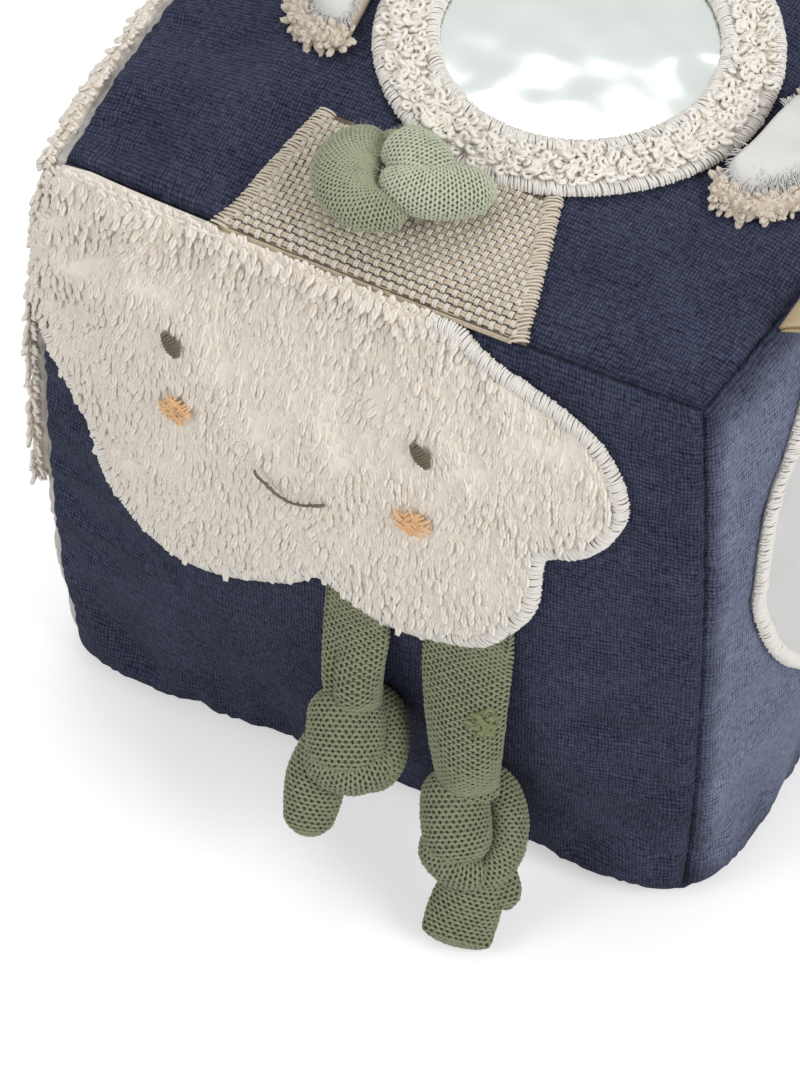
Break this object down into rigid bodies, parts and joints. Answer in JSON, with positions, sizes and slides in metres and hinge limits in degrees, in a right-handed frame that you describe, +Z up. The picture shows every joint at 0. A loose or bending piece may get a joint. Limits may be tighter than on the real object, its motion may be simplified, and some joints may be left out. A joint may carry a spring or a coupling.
{
  "type": "soft fabric block",
  "caption": "Stuffed cloth activity cube with a terry cloud whose knotted knitted legs dangle, a padded circle, a terry patch, and an animal figure with a mirror, ears and bow.",
  "frame": {"origin": "centre of the flat face that the block rests on", "axes": "+Z up, -Y out of the panel with the cloud, +X out of the panel with the padded circle"},
  "size_m": [0.1763, 0.1883, 0.1642],
  "materials": {
    "navy_muslin": "crinkled double gauze cotton",
    "cream_cotton": "smooth cotton",
    "terry": "looped terry",
    "satin_thread": "dense satin stitch",
    "overlock_thread": "overlocked edge",
    "olive_thread": "embroidered",
    "peach_thread": "embroidered",
    "green_knit": "fine stocking stitch",
    "bow_knit": "fine stocking stitch, brushed",
    "basket_weave": "coarse basket weave",
    "long_pile": "long soft pile",
    "mirror_foil": "soft mirror foil",
    "gold_ribbon": "satin ribbon",
    "fibre_filling": "loose fibre",
    "rattle_plastic": "moulded"
  },
  "bodies": {
    "root": {"front_panel": "navy_muslin", "back_panel": "navy_muslin", "right_panel": "navy_muslin", "left_panel": "cream_cotton", "top_panel": "navy_muslin", "bottom_panel": "navy_muslin", "core_lower": "fibre_filling", "core_upper": "fibre_filling", "rattle_shell_lower": "rattle_plastic", "rattle_shell_upper": "rattle_plastic", "cloud": "terry", "cloud_border": "satin_thread", "left_eye": "olive_thread", "right_eye": "olive_thread", "left_cheek": "peach_thread", "right_cheek": "peach_thread", "smile": "olive_thread", "circle_patch": "cream_cotton", "circle_border": "satin_thread", "mirror": "mirror_foil", "head_ring": "terry", "head_outer_border": "satin_thread", "head_inner_border": "satin_thread", "body_patch": "basket_weave", "body_border_left": "overlock_thread", "body_border_right": "overlock_thread", "bow_knot": "bow_knit", "left_patch": "terry", "left_patch_border": "satin_thread"},
    "rattle_ball": {"rattle_ball": "rattle_plastic"},
    "left_leg": {"left_leg": "green_knit"},
    "left_knot": {"left_knot": "green_knit"},
    "left_foot": {"left_foot": "green_knit"},
    "right_leg": {"right_leg": "green_knit"},
    "right_knot": {"right_knot": "green_knit"},
    "right_foot": {"right_foot": "green_knit"},
    "left_ear": {"left_ear": "terry", "left_ear_plush": "long_pile"},
    "right_ear": {"right_ear": "terry", "right_ear_plush": "long_pile"},
    "bow_left_lobe": {"bow_left_lobe": "bow_knit"},
    "bow_right_lobe": {"bow_right_lobe": "bow_knit"},
    "label": {"label": "gold_ribbon"}
  },
  "joints": [
    {"name": "left_hip", "type": "hinge", "parent": "root", "child": "left_leg", "pos_m": [0.00479, -0.08532, 0.065], "axis": [-1, 0, 0], "range_deg": [0, 90]},
    {"name": "left_knot_swing", "type": "hinge", "parent": "left_leg", "child": "left_knot", "pos_m": [0.00719, -0.09266, 0.0387], "axis": [0, 1, 0], "range_deg": [-25, 25]},
    {"name": "left_foot_bend", "type": "hinge", "parent": "left_knot", "child": "left_foot", "pos_m": [0.00719, -0.09266, 0.0387], "axis": [-1, 0, 0], "range_deg": [-10, 35]},
    {"name": "right_hip", "type": "hinge", "parent": "root", "child": "right_leg", "pos_m": [0.02887, -0.0846, 0.06528], "axis": [-1, 0, 0], "range_deg": [0, 90]},
    {"name": "right_knot_swing", "type": "hinge", "parent": "right_leg", "child": "right_knot", "pos_m": [0.03237, -0.09091, 0.02518], "axis": [0, 1, 0], "range_deg": [-25, 25]},
    {"name": "right_foot_bend", "type": "hinge", "parent": "right_knot", "child": "right_foot", "pos_m": [0.03237, -0.09091, 0.02518], "axis": [-1, 0, 0], "range_deg": [-10, 35]},
    {"name": "left_ear_lift", "type": "hinge", "parent": "root", "child": "left_ear", "pos_m": [-0.0322, -0.01004, 0.15348], "axis": [-0.1219, 0.9925, 0], "range_deg": [0, 70]},
    {"name": "right_ear_lift", "type": "hinge", "parent": "root", "child": "right_ear", "pos_m": [0.05064, -0.00991, 0.15175], "axis": [-0.1219, -0.9925, 0], "range_deg": [0, 70]},
    {"name": "bow_left_lift", "type": "hinge", "parent": "root", "child": "bow_left_lobe", "pos_m": [-0.0092, -0.05206, 0.15633], "axis": [-0.9903, 0.1392, 0], "range_deg": [0, 30]},
    {"name": "bow_right_lift", "type": "hinge", "parent": "root", "child": "bow_right_lobe", "pos_m": [-0.00509, -0.0493, 0.15671], "axis": [-0.2588, -0.9659, 0], "range_deg": [0, 30]},
    {"name": "label_flap", "type": "hinge", "parent": "root", "child": "label", "pos_m": [0.07402, -0.03671, 0.14557], "axis": [0, -1, 0], "range_deg": [-45, 60]},
    {"name": "rattle_shake", "type": "slide", "parent": "root", "child": "rattle_ball", "axis": [0, 0, 1], "range_m": [0, 0.017]}
  ]
}
